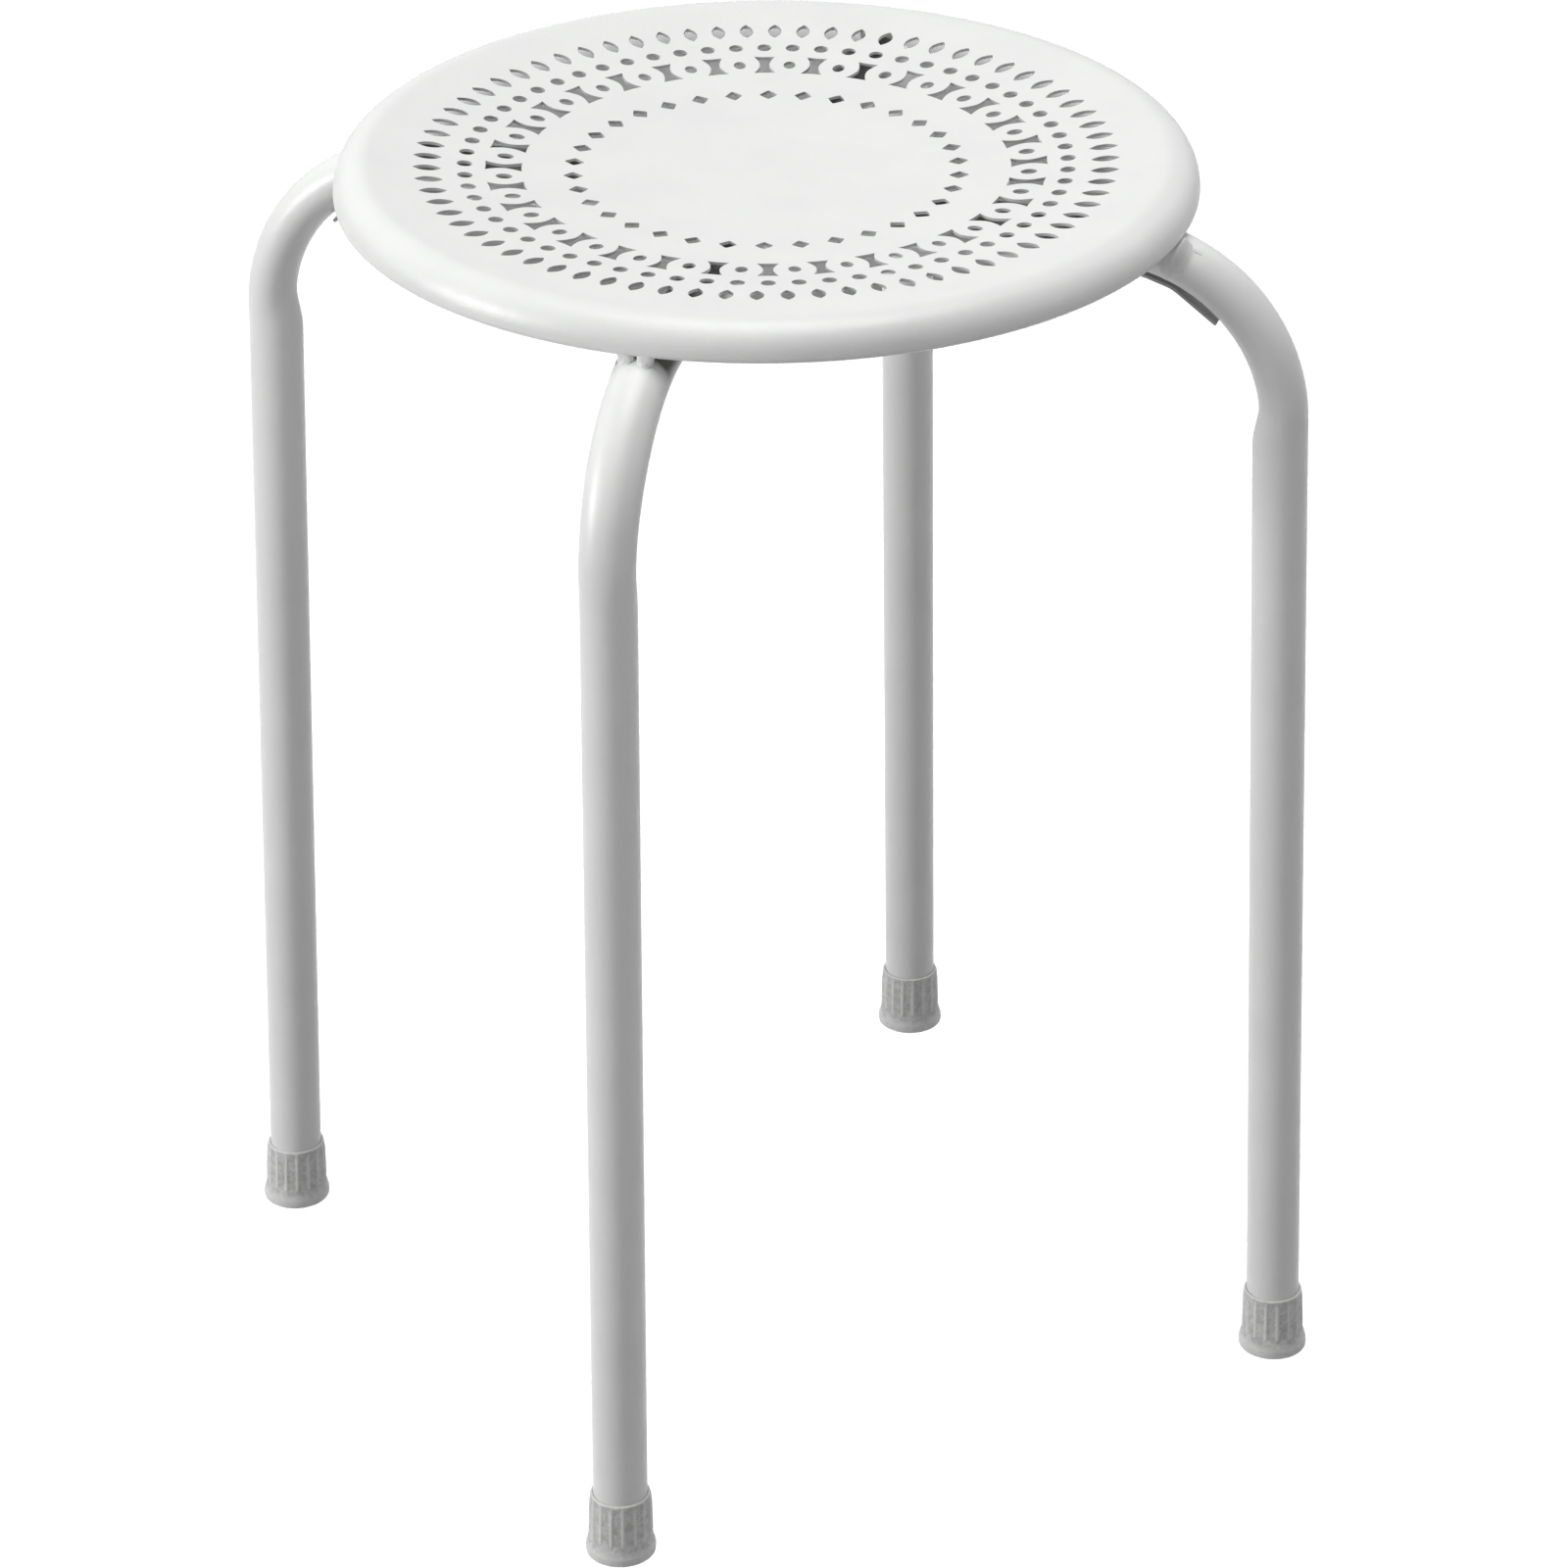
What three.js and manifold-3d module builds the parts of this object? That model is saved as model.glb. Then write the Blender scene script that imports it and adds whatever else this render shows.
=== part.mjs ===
import * as THREE from 'three';
import { mergeVertices, mergeGeometries } from 'three/addons/utils/BufferGeometryUtils.js';
import Module from 'manifold-3d';

// A round stacking stool: a dished, perforated steel seat on two U-shaped tubes that cross
// under its middle, with a plastic cap on each foot. Lengths are in millimetres, Z is up,
// the origin is on the floor under the middle of the seat, and the legs stand on X and Y.

// Main sizes
const stoolHeight = 450;
const seatDiameter = 296;
const footOutset = 42;
const legSplay = THREE.MathUtils.degToRad(1.3);

// Clearances: pieces that touch keep the fit gap, and cutters run past what they cut
const fitGap = 0.3;
const cutOverrun = 5;

// Seat sheet
const sheetThickness = 1.2;
const dishDepth = 8.4;
const rimRollRadius = 10.8;
const rimHeight = 12.6;
const hemRadius = 1.5;
const hemLipWidth = 4.2;
const seatSides = 48;
const rollSteps = 4;
const hemSteps = 2;
const dishRingShares = [0.4, 0.72, 0.9];

// Perforation rings, from the outside in, each inset from the one before it
const petalRing = { inset: 32.3, count: 72, length: 9.4, width: 4.3 };
const outerDotRing = { inset: 12.7, count: 64, diameter: 4.8 };
const bobbinRing = { inset: 13.3, count: 32, length: 12.4 };
const bobbinWidths = { ends: 7, waist: 3.2, endHollow: 0.9 };
const innerDotRing = { length: 5.2, width: 4.2 };
const diamondRing = { inset: 23.7, count: 34, length: 6.4, width: 5.6 };
const petalShoulderShares = { along: 0.17, across: 0.45 };
const dotSides = 6;
const halfPitchShare = 0.5;

// Leg tubes: round where straight, pressed oval through the bends, flattened at the crossing
const tubeDiameter = 19;
const tubeWall = 1.1;
const bendRadius = 59.5;
const tubeSides = 10;
const bendSteps = 7;
const bendHalfWidth = 9.9;
const bendHalfDepth = 8.3;
const bendPressLead = 17;
const bendPressShares = [0, 0.5];
const bendDepthFade = { above: 6, below: 10 };
const bendWidthFade = { start: 10, end: 40 };
const crossingHalfWidth = 12.2;
const crossingHalfDepth = 4.6;
const crossingFlatLength = 26;
const crossingTaperLength = 16;
const taperShares = [0.25, 0.5, 0.75];

// Stacking strips under the bends
const stripWidth = 7;
const stripThickness = 1.9;
const stripLead = 16;
const stripFirstFold = THREE.MathUtils.degToRad(12);
const stripSecondFold = THREE.MathUtils.degToRad(25);
const stripTailSlope = THREE.MathUtils.degToRad(35);
const stripTailLength = 19.5;

// Foot caps
const capHeight = 24;
const capBase = 4;
const capTopRadius = 10.75;
const capSleeveRadius = 11.1;
const capFlangeRadius = 12.3;
const capFlangeTop = 7;
const capFlangeEdge = 3.4;
const capFootRounding = 1.2;
const capRibCount = 16;
const capRibHeight = 0.5;
const capRibMargin = 0.8;

// Weld beads
const rimWeldReach = 3.4;
const rimWeldBite = 1.8;
const rimWelds = {
  right: { halfLength: 8, offset: -2 },
  back: { halfLength: 6, offset: 1 },
  left: { halfLength: 7, offset: 0 },
  front: { halfLength: 3.4, offset: 2.6 },
};
const stripWeldRadii = { along: 2.6, across: 3.2, rise: 2 };
const crossingWeldRadius = 5.4;
const weldSides = 8;
const weldRings = 5;

// Sizes that follow from the ones above
const seatRadius = seatDiameter / 2;
const footRadius = seatRadius + footOutset;
const tubeRadius = tubeDiameter / 2;
const petalRadius = seatRadius - petalRing.inset;
const outerDotRadius = petalRadius - outerDotRing.inset;
const bobbinRadius = outerDotRadius - bobbinRing.inset;
const diamondRadius = bobbinRadius - diamondRing.inset;
const rollCentreRadius = seatRadius - rimRollRadius;
const rollCentreHeight = stoolHeight - rimRollRadius;
const dishFloor = stoolHeight - dishDepth;
const dishRise = dishFloor - rollCentreHeight;
const rollReachSquared = rollCentreRadius ** 2 + dishRise ** 2;
const dishRadius = (rollReachSquared - rimRollRadius ** 2) / (2 * (rimRollRadius - dishRise));
const shoulderAngle = Math.asin(rollCentreRadius / (dishRadius + rimRollRadius));
const rimBottom = stoolHeight - rimHeight;
const tubeAxisHeight = dishFloor - sheetThickness - fitGap - tubeRadius;
const bendAngle = Math.PI / 2 - legSplay;
const bendCentreHeight = tubeAxisHeight - bendRadius;
const bendEndHeight = bendCentreHeight + bendRadius * Math.cos(bendAngle);
const legAxisRadius = (height) => footRadius - height * Math.tan(legSplay);
const bendCentreRadius = legAxisRadius(bendEndHeight) - bendRadius * Math.sin(bendAngle);
const tubeEndHeight = capBase + fitGap + tubeRadius * Math.sin(legSplay);
const bendShift = tubeRadius - bendHalfDepth;
const crossingShift = tubeRadius - crossingHalfDepth;
const bendInnerRadius = bendRadius + bendShift - bendHalfDepth;

// Materials
function finish(color, roughness, metalness) {
  return new THREE.MeshStandardMaterial({ color, roughness, metalness });
}
const powderCoat = () => finish(0xe9eae8, 0.42, 0.05);
const weldCoat = () => finish(0xe2e4e2, 0.5, 0.05);
const capPlastic = () => finish(0x9a9c9b, 0.55, 0);

const wasm = await Module();
wasm.setup();

// Turn a geometry into one indexed, closed mesh whose faces point outwards
function closedMesh(geometry) {
  const bare = geometry.clone();
  bare.deleteAttribute('normal');
  bare.deleteAttribute('uv');
  const merged = mergeVertices(bare);
  const position = merged.attributes.position;
  const source = merged.index.array;
  const kept = [];
  const a = new THREE.Vector3();
  const b = new THREE.Vector3();
  const c = new THREE.Vector3();
  let volume = 0;
  for (let i = 0; i < source.length; i += 3) {
    const [p, q, r] = [source[i], source[i + 1], source[i + 2]];
    if (p === q || q === r || r === p) continue;
    kept.push(p, q, r);
    a.fromBufferAttribute(position, p);
    b.fromBufferAttribute(position, q);
    c.fromBufferAttribute(position, r);
    volume += a.dot(b.cross(c));
  }
  if (volume < 0) kept.reverse();
  merged.setIndex(kept);
  return merged;
}

function toSolid(geometry) {
  const mesh = closedMesh(geometry);
  const vertProperties = new Float32Array(mesh.attributes.position.array);
  const triVerts = new Uint32Array(mesh.index.array);
  return new wasm.Manifold(new wasm.Mesh({ numProp: 3, vertProperties, triVerts }));
}

function toGeometry(solid) {
  const mesh = solid.getMesh();
  const geometry = new THREE.BufferGeometry();
  geometry.setAttribute('position', new THREE.BufferAttribute(mesh.vertProperties, 3));
  geometry.setIndex(new THREE.BufferAttribute(mesh.triVerts, 1));
  return geometry;
}

function largestPiece(solid) {
  const pieces = solid.decompose();
  return pieces.reduce((best, piece) => (piece.volume() > best.volume() ? piece : best));
}

// A lathe profile is drawn as radius and height, and its axis is turned upright
function upright(profile, sides, turn) {
  return new THREE.LatheGeometry(profile, sides, turn).rotateX(Math.PI / 2);
}

// Height of the seat's upper face on the dish
function dishHeight(radius) {
  return dishFloor + dishRadius - Math.sqrt(dishRadius ** 2 - radius ** 2);
}

// Section of the seat sheet, grown on all sides by an allowance when it serves as a cutter
function seatProfile(allowance) {
  const upper = [];
  const lower = [];
  const addPair = (radius, height, outX, outY) => {
    upper.push(new THREE.Vector2(radius + outX * allowance, height + outY * allowance));
    const depth = sheetThickness + allowance;
    lower.push(new THREE.Vector2(radius - outX * depth, height - outY * depth));
  };
  addPair(0, dishFloor, 0, 1);
  for (const share of dishRingShares) {
    const angle = shoulderAngle * share;
    const radius = dishRadius * Math.sin(angle);
    addPair(radius, dishHeight(radius), -Math.sin(angle), Math.cos(angle));
  }
  const rollAngles = Array.from({ length: rollSteps + 1 }, (_, i) => (i / rollSteps) * (Math.PI / 2));
  for (const angle of [-shoulderAngle, ...rollAngles]) {
    const out = [Math.sin(angle), Math.cos(angle)];
    const radius = rollCentreRadius + rimRollRadius * out[0];
    addPair(radius, rollCentreHeight + rimRollRadius * out[1], ...out);
  }
  for (let i = 0; i <= hemSteps; i += 1) {
    const angle = Math.PI / 2 + (i / hemSteps) * (Math.PI / 2);
    const out = [Math.sin(angle), Math.cos(angle)];
    const radius = seatRadius - hemRadius + hemRadius * out[0];
    addPair(radius, rimBottom + hemRadius + hemRadius * out[1], ...out);
  }
  const lipRadius = seatRadius - hemLipWidth - allowance;
  upper.push(new THREE.Vector2(lipRadius, rimBottom - allowance));
  lower.push(new THREE.Vector2(lipRadius, rimBottom + sheetThickness + allowance));
  return [...upper, ...lower.reverse()];
}

function seatBlank(allowance) {
  return toSolid(upright(seatProfile(allowance), seatSides, Math.PI / seatSides));
}

// Outlines of the holes, with their length on the radius of the seat
function petalOutline({ length, width }) {
  const along = length * petalShoulderShares.along;
  const across = width * petalShoulderShares.across;
  return [[length / 2, 0], [along, across], [-along, across],
    [-length / 2, 0], [-along, -across], [along, -across]];
}

function dotOutline(length, width) {
  return Array.from({ length: dotSides }, (_, i) => {
    const angle = ((i + 0.5) / dotSides) * 2 * Math.PI;
    return [(length / 2) * Math.cos(angle), (width / 2) * Math.sin(angle)];
  });
}

function bobbinOutline(length, { ends, waist, endHollow }) {
  const end = length / 2;
  const dip = end - endHollow;
  return [[end, -ends / 2], [dip, 0], [end, ends / 2], [0, waist / 2],
    [-end, ends / 2], [-dip, 0], [-end, -ends / 2], [0, -waist / 2]];
}

function diamondOutline({ length, width }) {
  return [[length / 2, 0], [0, width / 2], [-length / 2, 0], [0, -width / 2]];
}

// Punches for one ring of holes; the turn share moves the ring by part of a pitch
function ringPunches(outline, radius, count, turnShare) {
  const low = dishHeight(radius) - sheetThickness - cutOverrun;
  const depth = sheetThickness + 2 * cutOverrun;
  const shape = new THREE.Shape(outline.map(([x, y]) => new THREE.Vector2(x, y)));
  return Array.from({ length: count }, (_, i) => {
    const punch = new THREE.ExtrudeGeometry(shape, { depth, bevelEnabled: false, curveSegments: 1 });
    return punch.translate(radius, 0, low).rotateZ(((i + turnShare) / count) * 2 * Math.PI);
  });
}

function makeSeat() {
  const dot = dotOutline(outerDotRing.diameter, outerDotRing.diameter);
  const oval = dotOutline(innerDotRing.length, innerDotRing.width);
  const bobbin = bobbinOutline(bobbinRing.length, bobbinWidths);
  const punches = [
    ...ringPunches(petalOutline(petalRing), petalRadius, petalRing.count, 0),
    ...ringPunches(dot, outerDotRadius, outerDotRing.count, 0),
    ...ringPunches(bobbin, bobbinRadius, bobbinRing.count, halfPitchShare),
    ...ringPunches(oval, bobbinRadius, bobbinRing.count, 0),
    ...ringPunches(diamondOutline(diamondRing), diamondRadius, diamondRing.count, 0),
  ];
  return toGeometry(seatBlank(0).subtract(toSolid(mergeGeometries(punches))));
}

// Stations along one half of a frame tube, from the middle of the seat to the foot
function halfStations() {
  const flat = crossingFlatLength / 2;
  const stations = [{ r: 0, z: tubeAxisHeight, slope: 0 }, { r: flat, z: tubeAxisHeight, slope: 0 }];
  for (const share of [...taperShares, 1]) {
    stations.push({ r: flat + crossingTaperLength * share, z: tubeAxisHeight, slope: 0 });
  }
  for (const share of bendPressShares) {
    stations.push({ r: bendCentreRadius - bendPressLead * (1 - share), z: tubeAxisHeight, slope: 0 });
  }
  const pressedAngle = bendAngle - bendDepthFade.above / bendRadius;
  const slopes = Array.from({ length: bendSteps + 1 }, (_, i) => (i / bendSteps) * pressedAngle);
  for (const slope of [...slopes, (pressedAngle + bendAngle) / 2, bendAngle]) {
    const r = bendCentreRadius + bendRadius * Math.sin(slope);
    stations.push({ r, z: bendCentreHeight + bendRadius * Math.cos(slope), slope });
  }
  for (const z of [bendEndHeight - bendDepthFade.below, tubeEndHeight]) {
    stations.push({ r: legAxisRadius(z), z, slope: bendAngle });
  }
  return stations;
}

// The centre line of a frame tube, whose equal steps fall on the stations
class FrameLine extends THREE.Curve {
  constructor() {
    super();
    const half = halfStations();
    const mirrored = half.slice(1).reverse().map(({ r, z, slope }) => ({ r: -r, z, slope: -slope }));
    this.stations = [...mirrored, ...half];
  }

  stationAt(share) {
    return this.stations[Math.round(share * (this.stations.length - 1))];
  }

  getPointAt(share, target = new THREE.Vector3()) {
    const { r, z } = this.stationAt(share);
    return target.set(r, 0, z);
  }

  getTangentAt(share, target = new THREE.Vector3()) {
    const { slope } = this.stationAt(share);
    return target.set(Math.cos(slope), 0, -Math.sin(slope));
  }
}

const smooth = THREE.MathUtils.smoothstep;

// How a frame tube is pressed at a point: its half width, half depth and the shift of its axis
function pressingAt(r, z, crushedFromAbove) {
  const flat = crossingFlatLength / 2;
  const crossing = 1 - smooth(r, flat, flat + crossingTaperLength);
  const intoBend = smooth(r, bendCentreRadius - bendPressLead, bendCentreRadius);
  const { above, below } = bendDepthFade;
  const { start, end } = bendWidthFade;
  const depth = intoBend * smooth(z, bendEndHeight - below, bendEndHeight + above);
  const width = intoBend * smooth(z, bendEndHeight + start, bendEndHeight + end);
  const crossingSign = crushedFromAbove ? -1 : 1;
  const crossingSpread = crossing * (crossingHalfWidth - tubeRadius);
  return {
    halfWidth: tubeRadius + crossingSpread + width * (bendHalfWidth - tubeRadius),
    halfDepth: tubeRadius - crossing * crossingShift - depth * bendShift,
    shift: crossingSign * crossing * crossingShift + depth * bendShift,
  };
}

const bendCentre = new THREE.Vector2(bendCentreRadius, bendCentreHeight);

// Press the round tube oval: every point keeps its place around the section
function pressTube(geometry, crushedFromAbove) {
  const position = geometry.attributes.position;
  const wallMiddle = tubeRadius - tubeWall / 2;
  for (let i = 0; i < position.count; i += 1) {
    const side = Math.sign(position.getX(i)) || 1;
    const r = Math.abs(position.getX(i));
    const y = position.getY(i);
    const z = position.getZ(i);
    const aroundBend = Math.atan2(r - bendCentreRadius, z - bendCentreHeight);
    const slope = THREE.MathUtils.clamp(r < bendCentreRadius ? 0 : aroundBend, 0, bendAngle);
    const normal = new THREE.Vector2(Math.sin(slope), Math.cos(slope));
    const foot = bendCentre.clone().addScaledVector(normal, bendRadius);
    const offset = new THREE.Vector2(r, z).sub(foot);
    const depth = offset.dot(normal);
    const centre = new THREE.Vector2(r, z).addScaledVector(normal, -depth);
    const { halfWidth, halfDepth, shift } = pressingAt(centre.x, centre.y, crushedFromAbove);
    const radius = Math.hypot(y, depth);
    const inward = radius < wallMiddle ? tubeWall : 0;
    const newDepth = shift + (depth / radius) * (halfDepth - inward);
    position.setX(i, side * (centre.x + normal.x * newDepth));
    position.setY(i, (y / radius) * (halfWidth - inward));
    position.setZ(i, centre.y + normal.y * newDepth);
  }
  return geometry;
}

function sectionOutline(radius) {
  return Array.from({ length: tubeSides }, (_, i) => {
    const angle = ((i + 0.5) / tubeSides) * 2 * Math.PI;
    return new THREE.Vector2(radius * Math.cos(angle), radius * Math.sin(angle));
  });
}

function drawnAlongFrame(section, crushedFromAbove) {
  const extrudePath = new FrameLine();
  const steps = extrudePath.stations.length - 1;
  const settings = { steps, curveSegments: 1, bevelEnabled: false, extrudePath };
  return pressTube(new THREE.ExtrudeGeometry(section, settings), crushedFromAbove);
}

// One U-shaped tube in the XZ plane, open at both ends
function frameTube(crushedFromAbove) {
  const section = new THREE.Shape(sectionOutline(tubeRadius));
  section.holes.push(new THREE.Path(sectionOutline(tubeRadius - tubeWall)));
  return drawnAlongFrame(section, crushedFromAbove);
}

// The same tube filled and grown by the fit gap, to cut the welds that sit on it
function frameCutter(crushedFromAbove) {
  const section = new THREE.Shape(sectionOutline(tubeRadius));
  const mesh = closedMesh(drawnAlongFrame(section, crushedFromAbove));
  mesh.computeVertexNormals();
  const position = mesh.attributes.position;
  const normal = mesh.attributes.normal;
  for (let i = 0; i < position.count; i += 1) {
    position.setX(i, position.getX(i) + normal.getX(i) * fitGap);
    position.setY(i, position.getY(i) + normal.getY(i) * fitGap);
    position.setZ(i, position.getZ(i) + normal.getZ(i) * fitGap);
  }
  return mesh;
}

// Upper line of a stacking strip in the plane of its leg, from under the seat outwards
function stripLine() {
  const reach = bendInnerRadius - fitGap;
  const fold = (angle) => new THREE.Vector2(
    bendCentreRadius + reach * Math.sin(angle),
    bendCentreHeight + reach * Math.cos(angle),
  );
  const start = new THREE.Vector2(bendCentreRadius - stripLead, tubeAxisHeight - tubeRadius - fitGap);
  const tail = fold(stripSecondFold);
  tail.x += stripTailLength * Math.cos(stripTailSlope);
  tail.y -= stripTailLength * Math.sin(stripTailSlope);
  return [start, fold(stripFirstFold), fold(stripSecondFold), tail];
}

// The same line moved square to itself, with the corners mitred
function movedLine(line, distance) {
  return line.map((point, i) => {
    const last = line.length - 1;
    const before = Math.min(Math.max(i - 1, 0), last - 1);
    const after = Math.min(i, last - 1);
    const first = line[before + 1].clone().sub(line[before]).normalize();
    const second = line[after + 1].clone().sub(line[after]).normalize();
    const heading = first.clone().add(second).normalize();
    const mitre = distance / heading.dot(first);
    return new THREE.Vector2(point.x + heading.y * mitre, point.y - heading.x * mitre);
  });
}

function stripBody(allowance) {
  const line = stripLine();
  const above = movedLine(line, -allowance);
  const below = movedLine(line, stripThickness + allowance);
  const outline = [...above, ...below.reverse()];
  const depth = stripWidth + 2 * allowance;
  const settings = { depth, bevelEnabled: false, curveSegments: 1 };
  const strip = new THREE.ExtrudeGeometry(new THREE.Shape(outline), settings);
  return strip.translate(0, 0, -depth / 2).rotateX(Math.PI / 2);
}

// Section of a foot cap: base, flange, sleeve and bore
function capProfile() {
  const bore = tubeRadius + fitGap;
  return [
    [0, 0],
    [capFlangeRadius - capFootRounding, 0],
    [capFlangeRadius, capFootRounding],
    [capFlangeRadius, capFlangeEdge],
    [capSleeveRadius, capFlangeTop],
    [capSleeveRadius, capFlangeTop + capRibMargin],
    [capTopRadius, capHeight - capRibMargin],
    [capTopRadius, capHeight],
    [bore, capHeight],
    [bore, capBase],
    [0, capBase],
  ].map(([radius, height]) => new THREE.Vector2(radius, height));
}

// A foot cap on its leg axis: ribs stand out of the sleeve, and the sleeve leans with the leg
function makeCap() {
  const cap = upright(capProfile(), 2 * capRibCount, 0);
  const position = cap.attributes.position;
  const ribLow = capFlangeTop + capRibMargin / 2;
  const ribHigh = capHeight - capRibMargin / 2;
  const bore = tubeRadius + fitGap;
  for (let i = 0; i < position.count; i += 1) {
    const x = position.getX(i);
    const y = position.getY(i);
    const z = position.getZ(i);
    const radius = Math.hypot(x, y);
    const ribbed = z > ribLow && z < ribHigh && radius > (bore + capTopRadius) / 2;
    const wave = Math.cos(capRibCount * Math.atan2(y, x));
    const grown = ribbed ? (radius + (wave * capRibHeight) / 2 - capRibHeight / 2) / radius : 1;
    position.setXY(i, x * grown + footRadius - z * Math.tan(legSplay), y * grown);
  }
  return cap;
}

// A weld bead is an egg-shaped drop, cut by the pieces that it joins
function weldDrop(centre, radii) {
  const drop = new THREE.SphereGeometry(1, weldSides, weldRings).rotateX(Math.PI / 2);
  return drop.scale(radii.x, radii.y, radii.z).translate(centre.x, centre.y, centre.z);
}

// The bead between rim and bend hangs over the tube like a saddle
function makeRimWeld({ halfLength, offset }, crushedFromAbove) {
  const run = Math.max(seatRadius - bendCentreRadius, 0);
  const tubeTop = bendCentreHeight + Math.sqrt((bendRadius + tubeRadius) ** 2 - run ** 2);
  const centre = new THREE.Vector3(seatRadius, offset, (tubeTop + rimBottom) / 2);
  const rise = (rimBottom - tubeTop) / 2 + rimWeldBite;
  const drop = weldDrop(centre, new THREE.Vector3(rimWeldReach, halfLength, rise));
  const position = drop.attributes.position;
  for (let i = 0; i < position.count; i += 1) {
    const acrossShare = Math.min(Math.abs(position.getY(i)) / bendHalfWidth, 1);
    const sag = bendHalfDepth * (1 - Math.sqrt(1 - acrossShare ** 2));
    position.setZ(i, position.getZ(i) - sag);
  }
  const tube = toSolid(frameCutter(crushedFromAbove));
  return toGeometry(largestPiece(toSolid(drop).subtract(tube).subtract(seatBlank(fitGap))));
}

function makeStripWeld(crushedFromAbove) {
  const start = stripLine()[0];
  const centre = new THREE.Vector3(start.x, 0, start.y - stripThickness / 2);
  const radii = new THREE.Vector3(stripWeldRadii.along, stripWeldRadii.across, stripWeldRadii.rise);
  const drop = toSolid(weldDrop(centre, radii));
  const tube = toSolid(frameCutter(crushedFromAbove));
  return toGeometry(largestPiece(drop.subtract(tube).subtract(toSolid(stripBody(fitGap)))));
}

function makeCrossingWeld() {
  const corner = crossingHalfWidth;
  const centre = new THREE.Vector3(corner, corner, tubeAxisHeight);
  const radii = new THREE.Vector3(crossingWeldRadius, crossingWeldRadius, crossingWeldRadius);
  const lower = toSolid(frameCutter(true));
  const upper = toSolid(frameCutter(false).rotateZ(Math.PI / 2));
  return toGeometry(largestPiece(toSolid(weldDrop(centre, radii)).subtract(lower).subtract(upper)));
}

const stool = new THREE.Group();

function addPiece(name, geometry, material, turn = 0) {
  const mesh = new THREE.Mesh(geometry, material);
  mesh.name = name;
  mesh.rotation.z = turn;
  stool.add(mesh);
}

addPiece('seat_pan', makeSeat(), powderCoat());

// The lower tube makes the left and right legs, the upper one the front and back legs
addPiece('leg_tube_left_right', frameTube(true), powderCoat());
addPiece('leg_tube_front_back', frameTube(false), powderCoat(), Math.PI / 2);

const legs = [
  { side: 'right', quarterTurns: 0, crushedFromAbove: true },
  { side: 'back', quarterTurns: 1, crushedFromAbove: false },
  { side: 'left', quarterTurns: 2, crushedFromAbove: true },
  { side: 'front', quarterTurns: 3, crushedFromAbove: false },
];

for (const { side, quarterTurns, crushedFromAbove } of legs) {
  const turn = quarterTurns * (Math.PI / 2);
  addPiece(`stacking_strip_${side}`, stripBody(0), powderCoat(), turn);
  addPiece(`foot_cap_${side}`, makeCap(), capPlastic(), turn);
  addPiece(`rim_weld_${side}`, makeRimWeld(rimWelds[side], crushedFromAbove), weldCoat(), turn);
  addPiece(`strip_weld_${side}`, makeStripWeld(crushedFromAbove), weldCoat(), turn);
}

addPiece('crossing_weld_right', makeCrossingWeld(), weldCoat());
addPiece('crossing_weld_left', makeCrossingWeld(), weldCoat(), Math.PI);

export default stool;
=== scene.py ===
import math

import bmesh
import bpy
from mathutils import Matrix, Vector, noise
from mathutils.geometry import delaunay_2d_cdt


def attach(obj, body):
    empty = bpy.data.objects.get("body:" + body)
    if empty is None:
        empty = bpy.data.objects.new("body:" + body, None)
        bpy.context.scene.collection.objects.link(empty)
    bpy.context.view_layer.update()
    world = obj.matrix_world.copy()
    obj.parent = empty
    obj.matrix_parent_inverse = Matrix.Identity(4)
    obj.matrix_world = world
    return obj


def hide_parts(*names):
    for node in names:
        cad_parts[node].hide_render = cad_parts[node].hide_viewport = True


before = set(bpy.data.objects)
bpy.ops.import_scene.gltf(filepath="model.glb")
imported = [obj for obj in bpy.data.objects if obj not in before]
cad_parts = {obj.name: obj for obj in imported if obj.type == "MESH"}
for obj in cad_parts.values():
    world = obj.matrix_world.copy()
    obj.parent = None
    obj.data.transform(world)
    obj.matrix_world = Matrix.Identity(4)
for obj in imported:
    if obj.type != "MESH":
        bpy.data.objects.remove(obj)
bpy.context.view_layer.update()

# Seat pan: 1.2 mm sheet steel, punched with five rings of holes and pressed to a shallow
# dish, its rim rolled over and turned under. Sizes of the steel are in millimetres, because
# the flat sheet is laid out like the punching pattern.
MM = 0.001
STOOL_HEIGHT = 450.0
SEAT_RADIUS = 148.0
SHEET = 1.2
DISH_DEPTH = 8.4
ROLL_RADIUS = 10.8
RIM_HEIGHT = 12.6
HEM_RADIUS = 1.5
HEM_LIP = 4.2
ROLL_CENTRE = (SEAT_RADIUS - ROLL_RADIUS, STOOL_HEIGHT - ROLL_RADIUS)
DISH_FLOOR = STOOL_HEIGHT - DISH_DEPTH
DISH_RISE = DISH_FLOOR - ROLL_CENTRE[1]
DISH_RADIUS = (ROLL_CENTRE[0] ** 2 + DISH_RISE ** 2 - ROLL_RADIUS ** 2) / (2 * (ROLL_RADIUS - DISH_RISE))
SHOULDER = math.asin(ROLL_CENTRE[0] / (DISH_RADIUS + ROLL_RADIUS))
DISH_EDGE = DISH_RADIUS * math.sin(SHOULDER)
EDGE_ROUNDING = 0.18

# fineness of the seat's mesh, its lengths in millimetres
SEAT_SIDES = 288
ROLL_STEPS = 14
HEM_STEPS = 6
SHEET_RINGS = 44
POINT_SPACING = 3.4
HOLE_MARGIN = 0.9
EDGE_BAND = 4.0
MERGE_REACH = 0.02


def dish_point(x, y, depth):
    """A point of the dish under its upper face, and the upward normal there."""
    fall = math.sqrt(DISH_RADIUS ** 2 - x * x - y * y)
    normal = Vector((-x, -y, fall)) / DISH_RADIUS
    return Vector((x, y, DISH_FLOOR + DISH_RADIUS - fall)) - depth * normal, normal


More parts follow.
